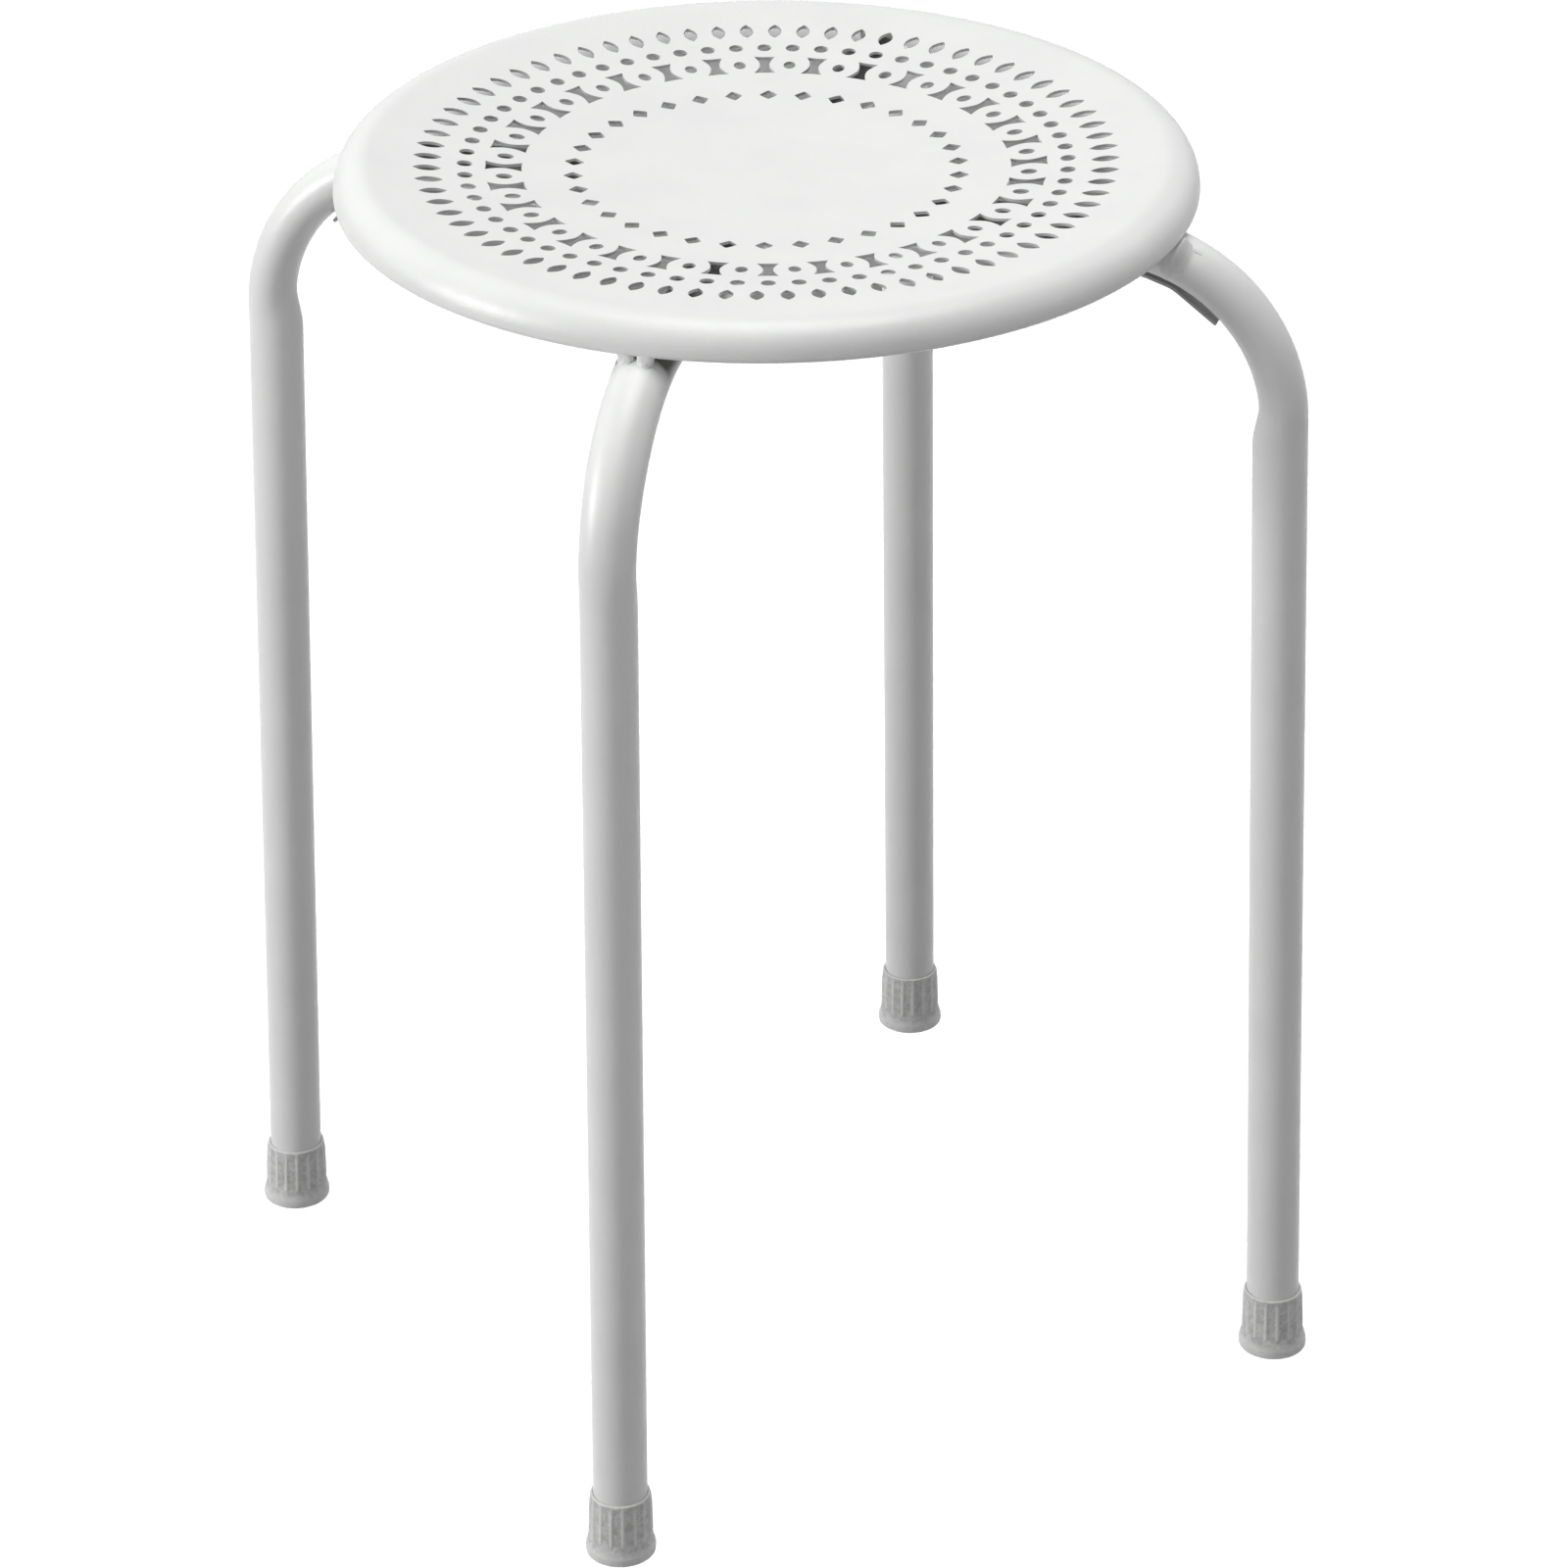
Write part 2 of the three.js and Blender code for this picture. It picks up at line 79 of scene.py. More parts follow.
def petal(length, width, steps=6, fullness=2.2):
    """A pointed oval: two arcs that meet in tips, long on the radius of the seat."""
    half = []
    for i in range(2 * steps):
        along = -math.cos(math.pi * i / (2 * steps))
        half.append((along * length / 2, (1 - abs(along) ** fullness) * width / 2))
    return half + [(-x, -y) for x, y in half]


def oval(length, width, steps=18, pointedness=1.0):
    """An oval, or a diamond where its pointedness is near 2."""
    outline = []
    for i in range(steps):
        angle = -2 * math.pi * (i + 0.5) / steps
        cosine, sine = math.cos(angle), math.sin(angle)
        outline.append((
            math.copysign(abs(cosine) ** pointedness, cosine) * length / 2,
            math.copysign(abs(sine) ** pointedness, sine) * width / 2,
        ))
    return outline


def bobbin(length, ends, waist, end_hollow, steps=6, flare=1.7, corner=0.2):
    """Two wide ends with a narrow waist, all sides curved in and the corners rounded off."""
    side = []
    for i in range(-steps, steps + 1):
        share = i / steps
        across = waist + (ends - waist) * abs(share) ** flare
        side.append((share * (length / 2 - corner * 0.5), across / 2))
    end = []
    for share in (0.5, 0.0, -0.5):
        hollow = end_hollow * (1 - share * share)
        end.append((length / 2 - hollow, share * (ends / 2 - corner)))
    half = side + end
    return half + [(-x, -y) for x, y in half]


# ring radius, count, share of a pitch that the ring is turned by, outline
HOLE_RINGS = [
    (115.7, 72, 0.0, petal(length=9.8, width=4.7)),
    (103.0, 64, 0.0, oval(length=5.2, width=4.9)),
    (89.7, 32, 0.5, bobbin(length=12.7, ends=7.3, waist=3.2, end_hollow=0.3)),
    (89.7, 32, 0.0, oval(length=5.6, width=4.2)),
    (66.0, 34, 0.0, oval(length=6.8, width=6.0, steps=24, pointedness=1.8)),
]


def twice_area(outline):
    """Twice the area inside an outline, negative where it runs clockwise."""
    return sum(a[0] * b[1] - b[0] * a[1] for a, b in zip(outline, outline[1:] + outline[:1]))


def outward(outline):
    """For each corner of an outline, the direction that moves both its sides out equally."""
    turn = 1 if twice_area(outline) > 0 else -1
    count = len(outline)
    sharpest_corner = 0.6
    moves = []
    for i in range(count):
        before = Vector(outline[i]) - Vector(outline[i - 1])
        after = Vector(outline[(i + 1) % count]) - Vector(outline[i])
        heading = (before.normalized() + after.normalized()).normalized()
        stretch = 1 / max(heading.dot(before.normalized()), sharpest_corner)
        moves.append(Vector((heading.y, -heading.x)) * turn * stretch)
    return moves


def punched_holes():
    """Each hole as its corners on the flat sheet, with the outward move of each corner."""
    holes = []
    for radius, count, turn, outline in HOLE_RINGS:
        moves = outward(outline)
        for i in range(count):
            rotation = Matrix.Rotation(2 * math.pi * (i + turn) / count, 2)
            corners = [rotation @ (Vector(corner) + Vector((radius, 0.0))) for corner in outline]
            holes.append((corners, [rotation @ move for move in moves]))
    return holes


def points_between(holes):
    """Points spread over the flat sheet in rings, clear of the holes."""
    centres = [sum(corners, Vector((0.0, 0.0))) / len(corners) for corners, _ in holes]
    reaches = [
        max((corner - centre).length for corner in corners) + HOLE_MARGIN
        for (corners, _), centre in zip(holes, centres)
    ]
    points = []
    for ring in range(SHEET_RINGS):
        radius = DISH_EDGE * (ring + 0.5) / SHEET_RINGS
        around = max(6, int(2 * math.pi * radius / POINT_SPACING))
        if DISH_EDGE - radius < EDGE_BAND:
            around = SEAT_SIDES
        for i in range(around):
            angle = 2 * math.pi * (i + 0.5 * (ring % 2)) / around
            point = Vector((radius * math.cos(angle), radius * math.sin(angle)))
            if not any(abs(point.x - centre.x) < reach and (point - centre).length < reach
                       for centre, reach in zip(centres, reaches)):
                points.append(point)
    return points


def flat_sheet(holes):
    """The sheet between the holes: its points, its triangles, and the points round each hole."""
    points = []
    loops = []
    for corners, moves in holes:
        start = len(points)
        points += [corner + EDGE_ROUNDING * move for corner, move in zip(corners, moves)]
        loops.append(list(range(start, len(points))))
    points += points_between(holes)
    rim_start = len(points)
    for i in range(SEAT_SIDES):
        angle = 2 * math.pi * i / SEAT_SIDES
        points.append(Vector((DISH_EDGE * math.cos(angle), DISH_EDGE * math.sin(angle))))
    rim_edges = [(rim_start + i, rim_start + (i + 1) % SEAT_SIDES) for i in range(SEAT_SIDES)]
    punched = [
        loop if twice_area([points[i] for i in loop]) > 0 else loop[::-1]
        for loop in loops
    ]
    all_triangles, smallest_step, with_origins = 0, 1e-6, True
    flat, _, faces, origins, _, face_origins = delaunay_2d_cdt(
        points, rim_edges, punched, all_triangles, smallest_step, with_origins)
    sheet = [face for face, origin in zip(faces, face_origins) if not origin]
    place = {old: index for index, origin in enumerate(origins) for old in origin}
    return flat, sheet, [[place[i] for i in loop] for loop in loops]


def rim_section():
    """Outer line of the rolled rim and its hem, as radius, height and outward direction."""
    section = []
    for i in range(ROLL_STEPS + 1):
        angle = -SHOULDER + (math.pi / 2 + SHOULDER) * i / ROLL_STEPS
        out, up = math.sin(angle), math.cos(angle)
        section.append((ROLL_CENTRE[0] + ROLL_RADIUS * out, ROLL_CENTRE[1] + ROLL_RADIUS * up, out, up))
    hem_centre = (SEAT_RADIUS - HEM_RADIUS, STOOL_HEIGHT - RIM_HEIGHT + HEM_RADIUS)
    for i in range(HEM_STEPS + 1):
        angle = math.pi / 2 + math.pi / 2 * i / HEM_STEPS
        out, up = math.sin(angle), math.cos(angle)
        section.append((hem_centre[0] + HEM_RADIUS * out, hem_centre[1] + HEM_RADIUS * up, out, up))
    section.append((SEAT_RADIUS - HEM_LIP, STOOL_HEIGHT - RIM_HEIGHT, 0.0, -1.0))
    return section


def make_seat():
    holes = punched_holes()
    flat, sheet, loops = flat_sheet(holes)
    bm = bmesh.new()
    normals = {}

    def add(x, y, depth, lean=None, toward=0.0):
        position, normal = dish_point(x, y, depth)
        vertex = bm.verts.new(position * MM)
        if lean is not None:
            side = Vector((*lean, 0.0)).normalized()
            normal = math.cos(toward) * normal - math.sin(toward) * side
        normals[vertex] = normal
        return vertex

    upper = [add(x, y, 0.0) for x, y in flat]
    lower = [add(x, y, SHEET) for x, y in flat]
    for vertex in lower:
        normals[vertex] = -normals[vertex]
    for face in sheet:
        a, b, c = (flat[i] for i in face)
        up = (b - a).cross(c - a) > 0
        ordered = list(face) if up else list(reversed(face))
        bm.faces.new([upper[i] for i in ordered])
        bm.faces.new([lower[i] for i in reversed(ordered)])

    # the walls of the holes, rounded over by the coat at both edges; below the upper rounding they take
    # the grey coat, painted shade inside the holes
    half = math.pi / 4
    inset = EDGE_ROUNDING * (1 - math.sin(half))
    sink = EDGE_ROUNDING * (1 - math.cos(half))
    wall = [
        (inset, sink, half),
        (0.0, EDGE_ROUNDING, 2 * half),
        (0.0, SHEET - EDGE_ROUNDING, 2 * half),
        (inset, SHEET - sink, 3 * half),
    ]
    for (corners, moves), loop in zip(holes, loops):
        rows = [[upper[i] for i in loop]]
        for grow, depth, toward in wall:
            rows.append([
                add(*(corner + grow * move), depth, move, toward)
                for corner, move in zip(corners, moves)
            ])
        rows.append([lower[i] for i in loop])
        for above, below in zip(rows, rows[1:]):
            for i in range(len(above)):
                face = bm.faces.new((above[i - 1], above[i], below[i], below[i - 1]))
                face.material_index = 0 if above is rows[0] else 1

    # the rolled rim and its hem: the section of the sheet, spun round the seat
    section = rim_section()
    outside = [(r, z) for r, z, _, _ in section]
    inside = [(r - SHEET * out, z - SHEET * up) for r, z, out, up in section]
    chain = [bm.verts.new((r * MM, 0.0, z * MM)) for r, z in outside + list(reversed(inside))]
    edges = [bm.edges.new(pair) for pair in zip(chain, chain[1:])]
    known = set(bm.verts) - set(chain)
    bmesh.ops.spin(bm, geom=chain + edges, cent=(0, 0, 0), axis=(0, 0, 1), dvec=(0, 0, 0),
                   angle=2 * math.pi, steps=SEAT_SIDES, use_merge=True)
    fresh = [vertex for vertex in bm.verts if vertex not in known]
    seam = (DISH_EDGE - MERGE_REACH / 2) * MM
    edge_zone = [vertex for vertex in bm.verts if vertex in known and vertex.co.xy.length > seam]
    bmesh.ops.remove_doubles(bm, verts=fresh + edge_zone, dist=MERGE_REACH * MM)
    bmesh.ops.recalc_face_normals(bm, faces=bm.faces)
    bm.verts.index_update()
    given = {vertex.index: normal for vertex, normal in normals.items() if vertex.is_valid}
    mesh_normals = []
    for vertex in bm.verts:
        total = sum((face.calc_area() * face.normal for face in vertex.link_faces), Vector())
        mesh_normals.append(given.get(vertex.index, total.normalized()))
    return bm, mesh_normals


# The powder coat is one white skin on all the steel, baked to a semi-gloss with a fine orange
# peel; its grey copy on the hole walls is painted shade. Scales are lumps in a metre, heights are in
# metres.
COAT_TONES = ((0.825, 0.835, 0.822, 1.0), (0.79, 0.80, 0.79, 1.0))
HOLE_WALL_SHADE_TONES = ((0.54, 0.545, 0.54, 1.0), (0.46, 0.465, 0.46, 1.0))
CLOUD_SCALE = 38.0
CLOUD_RANGE = (0.35, 0.75)
HAZE_SCALE = 160.0
HAZE_RANGE = (0.3, 0.7)
SWELL_SCALE = 320.0
SWELL_HEIGHT = 0.00012
PEEL_SCALE = 2000.0
PEEL_HEIGHT = 0.00015
COAT_PEEL = 0.5
COAT_ROUGHNESS = (0.29, 0.38)

# where a Mix node for colours has its factor, its two colours and its output
COLOUR_SHARE, COLOUR_A, COLOUR_B, COLOUR_OUT = 0, 6, 7, 2


def link(tree, source, output, target, socket):
    tree.links.new(source.outputs[output], target.inputs[socket])


def noise_node(tree, coordinates, scale, detail, roughness=0.5):
    node = tree.nodes.new("ShaderNodeTexNoise")
    node.inputs["Scale"].default_value = scale
    node.inputs["Detail"].default_value = detail
    node.inputs["Roughness"].default_value = roughness
    link(tree, coordinates, "Object", node, "Vector")
    return node


def remap(tree, source, output, low, high, to_low, to_high):
    node = tree.nodes.new("ShaderNodeMapRange")
    node.inputs["From Min"].default_value = low
    node.inputs["From Max"].default_value = high
    node.inputs["To Min"].default_value = to_low
    node.inputs["To Max"].default_value = to_high
    link(tree, source, output, node, "Value")
    return node


def blended_colour(tree, factor, output, first, second):
    node = tree.nodes.new("ShaderNodeMix")
    node.data_type = "RGBA"
    node.inputs[COLOUR_A].default_value = first
    node.inputs[COLOUR_B].default_value = second
    link(tree, factor, output, node, COLOUR_SHARE)
    return node


def bump_node(tree, height, output, strength, distance, below=None):
    node = tree.nodes.new("ShaderNodeBump")
    node.inputs["Strength"].default_value = strength
    node.inputs["Distance"].default_value = distance
    link(tree, height, output, node, "Height")
    if below:
        link(tree, below, "Normal", node, "Normal")
    return node


def powder_coat(name, tones=COAT_TONES, peel_strength=COAT_PEEL, roughness=COAT_ROUGHNESS):
    material = bpy.data.materials.new(name)
    material.use_nodes = True
    tree = material.node_tree
    shader = tree.nodes["Principled BSDF"]
    coordinates = tree.nodes.new("ShaderNodeTexCoord")
    cloud = noise_node(tree, coordinates, CLOUD_SCALE, detail=3.0)
    tint = remap(tree, cloud, "Fac", *CLOUD_RANGE, 0.0, 1.0)
    colour = blended_colour(tree, tint, "Result", *tones)
    link(tree, colour, COLOUR_OUT, shader, "Base Color")
    haze = noise_node(tree, coordinates, HAZE_SCALE, detail=4.0)
    rough = remap(tree, haze, "Fac", *HAZE_RANGE, *roughness)
    link(tree, rough, "Result", shader, "Roughness")
    swell = noise_node(tree, coordinates, SWELL_SCALE, detail=1.0)
    peel = noise_node(tree, coordinates, PEEL_SCALE, detail=2.0, roughness=0.55)
    waves = bump_node(tree, swell, "Fac", peel_strength, SWELL_HEIGHT)
    skin = bump_node(tree, peel, "Fac", peel_strength, PEEL_HEIGHT, below=waves)
    link(tree, skin, "Normal", shader, "Normal")
    shader.inputs["Specular IOR Level"].default_value = 0.5
    return material


def flat_kept_normals(mesh):
    """Normals weighted by area, so that rounded edges don't bend the light on the flats."""
    totals = [Vector() for _ in mesh.vertices]
    for polygon in mesh.polygons:
        for index in polygon.vertices:
            totals[index] += polygon.area * polygon.normal
    return [total.normalized() for total in totals]


def put_on_stool(name, bm, material, node, normals=None):
    """Finish a piece: it rides on the stool and stands for its CAD node."""
    mesh = bpy.data.meshes.new(name)
    bm.to_mesh(mesh)
    bm.free()
    mesh.materials.append(material)
    mesh.shade_smooth()
    mesh.normals_split_custom_set_from_vertices(normals or flat_kept_normals(mesh))
    piece = bpy.data.objects.new(name, mesh)
    bpy.context.scene.collection.objects.link(piece)
    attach(piece, "root")
    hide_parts(node)
    return piece


white_coat = powder_coat("white_powder_coat")
seat_mesh, seat_normals = make_seat()
seat = put_on_stool("seat_pan_sheet", seat_mesh, white_coat, "seat_pan",
                    normals=seat_normals)
# the second, grey coat is painted shade on the walls of the holes
seat.data.materials.append(powder_coat("hole_wall_painted_shade_coat", HOLE_WALL_SHADE_TONES))


# Leg tubes: two 19 mm steel tubes, each bent to a wide U. The bends are pressed oval by the
# bending die, and both tubes are crushed flat where they cross under the seat, so that they
# lie on one level and weld to each other.
TUBE_RADIUS = 9.5
TUBE_WALL = 1.1
BEND_RADIUS = 59.5
FOOT_RADIUS = 190.0
SPLAY = math.radians(1.3)
CAP_BASE = 4.0
FIT_GAP = 0.3
BEND_HALF_WIDTH = 9.9
BEND_HALF_DEPTH = 8.3
CROSSING_HALF_WIDTH = 12.2
CROSSING_HALF_DEPTH = 4.6
CROSSING_FLAT = 13.0
CROSSING_TAPER = 16.0
CROSSING_BOXINESS = 0.25
PRESS_LEAD = 17.0
DEPTH_FADE = (10.0, 6.0)
WIDTH_FADE = (10.0, 40.0)
TUBE_AXIS = DISH_FLOOR - SHEET - FIT_GAP - TUBE_RADIUS
BEND_ANGLE = math.pi / 2 - SPLAY
BEND_LEVEL = TUBE_AXIS - BEND_RADIUS
BEND_END = BEND_LEVEL + BEND_RADIUS * math.cos(BEND_ANGLE)
BEND_CENTRE = FOOT_RADIUS - BEND_END * math.tan(SPLAY) - BEND_RADIUS * math.sin(BEND_ANGLE)
TUBE_END = CAP_BASE + FIT_GAP + TUBE_RADIUS * math.sin(SPLAY)
BEND_SHIFT = TUBE_RADIUS - BEND_HALF_DEPTH
CROSSING_SHIFT = TUBE_RADIUS - CROSSING_HALF_DEPTH
TUBE_SIDES = 48

# The tops of the tubes close under the seat are painted dark, painted shade for the seat's
# shadow on them. The edge of that place is a radius and a height, each from lit to shaded, in metres.
UNDER_SEAT_SHADE = (0.13, 0.13, 0.125, 1.0)
SHADE_RADIUS = (0.1455, 0.1435)
SHADE_HEIGHT = (0.4275, 0.4325)


def leg_radius(z):
    return FOOT_RADIUS - z * math.tan(SPLAY)


def smooth(value, low, high):
    share = min(max((value - low) / (high - low), 0.0), 1.0)
    return share * share * (3 - 2 * share)


def spread(low, high, steps):
    return [low + (high - low) * i / steps for i in range(steps)]


def tube_stations():
    """Centre line of half a tube, as distance from the middle, height and slope."""
    taper_end = CROSSING_FLAT + CROSSING_TAPER
    press_start = BEND_CENTRE - PRESS_LEAD
    level = spread(0.0, CROSSING_FLAT, steps=3)
    level += spread(CROSSING_FLAT, taper_end, steps=10)
    level += spread(taper_end, press_start, steps=9)
    level += spread(press_start, BEND_CENTRE, steps=8)
    stations = [(r, TUBE_AXIS, 0.0) for r in level]
    for slope in spread(0.0, BEND_ANGLE, steps=40):
        stations.append((BEND_CENTRE + BEND_RADIUS * math.sin(slope),
                         BEND_LEVEL + BEND_RADIUS * math.cos(slope), slope))
    fade_end = BEND_END - DEPTH_FADE[0]
    heights = spread(BEND_END, fade_end, steps=5) + spread(fade_end, TUBE_END, steps=22) + [TUBE_END]
    return stations + [(leg_radius(z), z, BEND_ANGLE) for z in heights]


def tube_section(station, from_above, inward, side):
    """One ring of points round the pressed tube."""
    r, z, slope = station
    crossing = 1 - smooth(r, CROSSING_FLAT, CROSSING_FLAT + CROSSING_TAPER)
    into_bend = smooth(r, BEND_CENTRE - PRESS_LEAD, BEND_CENTRE)
    depth = into_bend * smooth(z, BEND_END - DEPTH_FADE[0], BEND_END + DEPTH_FADE[1])
    width = into_bend * smooth(z, BEND_END + WIDTH_FADE[0], BEND_END + WIDTH_FADE[1])
    half_width = (TUBE_RADIUS + crossing * (CROSSING_HALF_WIDTH - TUBE_RADIUS)
                  + width * (BEND_HALF_WIDTH - TUBE_RADIUS)) - inward
    half_depth = TUBE_RADIUS - crossing * CROSSING_SHIFT - depth * BEND_SHIFT - inward
    shift = (-1 if from_above else 1) * crossing * CROSSING_SHIFT + depth * BEND_SHIFT
    squareness = 1 - CROSSING_BOXINESS * crossing
    ring = []
    for i in range(TUBE_SIDES):
        angle = 2 * math.pi * i / TUBE_SIDES
        cosine, sine = math.cos(angle), math.sin(angle)
        across = math.copysign(abs(cosine) ** squareness, cosine) * half_width
        out = shift + math.copysign(abs(sine) ** squareness, sine) * half_depth
        place = Vector((side * (r + math.sin(slope) * out), across, z + math.cos(slope) * out))
        ring.append(place * MM)
    return ring


def ring_edges(bm, ring):
    return [bm.edges.get((ring[i - 1], ring[i])) for i in range(len(ring))]


def next_ring(bm, ring):
    """Extrude a ring of points, and return the open ring beside it."""
    bmesh.ops.extrude_edge_only(bm, edges=ring_edges(bm, ring))
    beside = []
    for vertex in ring:
        others = (edge.other_vert(vertex) for edge in vertex.link_edges)
        beside.append(next(
            other for other in others
            if other not in ring and len(other.link_faces) <= 2
        ))
    return beside


def make_tube(from_above, turn):
    """The outer and the inner wall, extruded ring by ring along the centre line and bridged."""
    half = tube_stations()
    line = [(-1, station) for station in reversed(half[1:])] + [(1, station) for station in half]
    bm = bmesh.new()
    shells = []
    for inward in (0.0, TUBE_WALL):
        ring = bmesh.ops.create_circle(bm, segments=TUBE_SIDES, radius=MM)["verts"]
        first = ring_edges(bm, ring)
        # the ring beside the second one is the first again, so it is moved on to the third
        # station, and the tube stops one station short at that end, inside its cap
        for index, (side, station) in enumerate(line):
            if index:
                ring = next_ring(bm, ring)
            for vertex, place in zip(ring, tube_section(station, from_above, inward, side)):
                vertex.co = place
        shells.append((first, ring_edges(bm, ring)))
    for outer, inner in zip(*shells):
        bmesh.ops.bridge_loops(bm, edges=outer + inner)
    bmesh.ops.rotate(bm, verts=bm.verts, cent=(0, 0, 0), matrix=Matrix.Rotation(turn, 3, "Z"))
    bmesh.ops.recalc_face_normals(bm, faces=bm.faces)
    return bm


def paint_shade_under_seat(material):
    """Paint shade into a coat inside the edge of the place close under the seat."""
    tree = material.node_tree
    shader = tree.nodes["Principled BSDF"]
    coordinates = tree.nodes["Texture Coordinate"]
    coat_colour = shader.inputs["Base Color"].links[0].from_socket
    parts = tree.nodes.new("ShaderNodeSeparateXYZ")
    link(tree, coordinates, "Object", parts, "Vector")
    flat = tree.nodes.new("ShaderNodeVectorMath")
    flat.operation = "MULTIPLY"
    flat.inputs[1].default_value = (1.0, 1.0, 0.0)
    link(tree, coordinates, "Object", flat, "Vector")
    reach = tree.nodes.new("ShaderNodeVectorMath")
    reach.operation = "LENGTH"
    link(tree, flat, "Vector", reach, "Vector")
    inside = remap(tree, reach, "Value", *SHADE_RADIUS, 0.0, 1.0)
    high = remap(tree, parts, "Z", *SHADE_HEIGHT, 0.0, 1.0)
    both = tree.nodes.new("ShaderNodeMath")
    both.operation = "MULTIPLY"
    link(tree, inside, "Result", both, 0)
    link(tree, high, "Result", both, 1)
    colour = blended_colour(tree, both, "Value", COAT_TONES[0], UNDER_SEAT_SHADE)
    tree.links.new(coat_colour, colour.inputs[COLOUR_A])
    link(tree, colour, COLOUR_OUT, shader, "Base Color")


tube_coat = powder_coat("tube_powder_coat")
# painted shade on the tops of the tubes under the seat
paint_shade_under_seat(tube_coat)
lower_tube = make_tube(True, 0.0)
upper_tube = make_tube(False, math.pi / 2)
put_on_stool("lower_leg_tube", lower_tube, tube_coat, "leg_tube_left_right")
put_on_stool("upper_leg_tube", upper_tube, tube_coat, "leg_tube_front_back")


# Stacking strips: flat bars of steel, folded twice and welded under each bend. The next
# stool down in a stack touches them instead of the coat of the tubes. Their coat is painted
# grey, painted shade for their downward faces, and the left one is cut a little shorter.
SIDES = ("right", "back", "left", "front")
STRIP_WIDTH = 7.0
STRIP_THICKNESS = 1.2
STRIP_LEAD = 16.0
STRIP_FOLDS = (math.radians(12), math.radians(25))
STRIP_FOLD_REACH = 2.2
STRIP_FOLD_STEPS = 4
STRIP_TAIL_SLOPE = math.radians(37.5)
STRIP_TAILS = {"right": 19.5, "back": 19.5, "left": 17.3, "front": 19.5}
STRIP_GAP = 0.7
STRIP_EDGE_ROUNDING = 0.35
STRIP_SHARP_ANGLE = 1.0
STRIP_SHADE_TONES = ((0.46, 0.465, 0.46, 1.0), (0.32, 0.325, 0.32, 1.0))


def strip_line(tail):
    """Upper line of a strip in the plane of its leg, with each fold as a short arc."""
    reach = BEND_RADIUS + BEND_SHIFT - BEND_HALF_DEPTH - STRIP_GAP
    line = [Vector((BEND_CENTRE - STRIP_LEAD, TUBE_AXIS - TUBE_RADIUS - FIT_GAP))]
    for fold in STRIP_FOLDS:
        line.append(Vector((BEND_CENTRE + reach * math.sin(fold), BEND_LEVEL + reach * math.cos(fold))))
    line.append(line[-1] + tail * Vector((math.cos(STRIP_TAIL_SLOPE), -math.sin(STRIP_TAIL_SLOPE))))
    folded = [line[0]]
    for before, corner, after in zip(line, line[1:], line[2:]):
        start = corner + (before - corner).normalized() * STRIP_FOLD_REACH
        end = corner + (after - corner).normalized() * STRIP_FOLD_REACH
        for i in range(STRIP_FOLD_STEPS + 1):
            share = i / STRIP_FOLD_STEPS
            rest = 1 - share
            folded.append(rest ** 2 * start + 2 * share * rest * corner + share ** 2 * end)
    return folded + [line[-1]]


def make_strip(tail, turn):
    """The side face of the bar, extruded to its width and rounded at its edges."""
    over = strip_line(tail)
    under = []
    for i, point in enumerate(over):
        heading = (over[min(i + 1, len(over) - 1)] - over[max(i - 1, 0)]).normalized()
        under.append(point + Vector((heading.y, -heading.x)) * STRIP_THICKNESS)
    bm = bmesh.new()
    near = -STRIP_WIDTH / 2
    upper = [bm.verts.new((point.x * MM, near * MM, point.y * MM)) for point in over]
    lower = [bm.verts.new((point.x * MM, near * MM, point.y * MM)) for point in under]
    side_face = [
        bm.faces.new((upper[i], upper[i + 1], lower[i + 1], lower[i]))
        for i in range(len(over) - 1)
    ]
    grown = bmesh.ops.extrude_face_region(bm, geom=side_face)["geom"]
    far_face = [element for element in grown if isinstance(element, bmesh.types.BMVert)]
    bmesh.ops.translate(bm, verts=far_face, vec=(0, STRIP_WIDTH * MM, 0))
    bmesh.ops.recalc_face_normals(bm, faces=bm.faces)
    sharp = [
        edge for edge in bm.edges
        if len(edge.link_faces) == 2 and edge.calc_face_angle() > STRIP_SHARP_ANGLE
    ]
    bmesh.ops.bevel(bm, geom=sharp, offset=STRIP_EDGE_ROUNDING * MM, segments=3, profile=0.5,
                    affect="EDGES", clamp_overlap=True, material=-1)
    bmesh.ops.rotate(bm, verts=bm.verts, cent=(0, 0, 0), matrix=Matrix.Rotation(turn, 3, "Z"))
    return bm


# the grey of the strips is painted shade for their downward faces
strip_painted_shade_coat = powder_coat("strip_painted_shade_coat", STRIP_SHADE_TONES)
for quarter, side in enumerate(SIDES):
    strip = make_strip(STRIP_TAILS[side], quarter * math.pi / 2)
    put_on_stool(f"{side}_stacking_strip", strip, strip_painted_shade_coat, f"stacking_strip_{side}")


# Foot caps: moulded in one piece of grey, slightly translucent plastic and pushed over the
# tube ends. A wide flange stands on the floor, and 16 thin ribs stiffen the sleeve.
CAP_HEIGHT = 24.0
CAP_BORE_RADIUS = TUBE_RADIUS + 0.08
CAP_TOP_RADIUS = 10.75
CAP_SLEEVE_RADIUS = 11.1
CAP_FLANGE_RADIUS = 12.3
CAP_FLANGE_TOP = 7.0
CAP_FLANGE_EDGE = 3.4
CAP_ROUNDING = 1.2
CAP_ROUNDING_STEPS = 4
SLEEVE_STEPS = 8
RIB_COUNT = 16
RIB_HEIGHT = 0.5
RIB_ROOT = 0.25
RIB_SHAPE = (1.0, 0.3, 0.0, 0.0, 0.0, 0.0, 0.0, 0.3)
RIB_FADE = 4.0
RIB_TOP_SHARE = 0.3
RIB_END_MARGIN = 0.1
BORE_MARGIN = 0.2
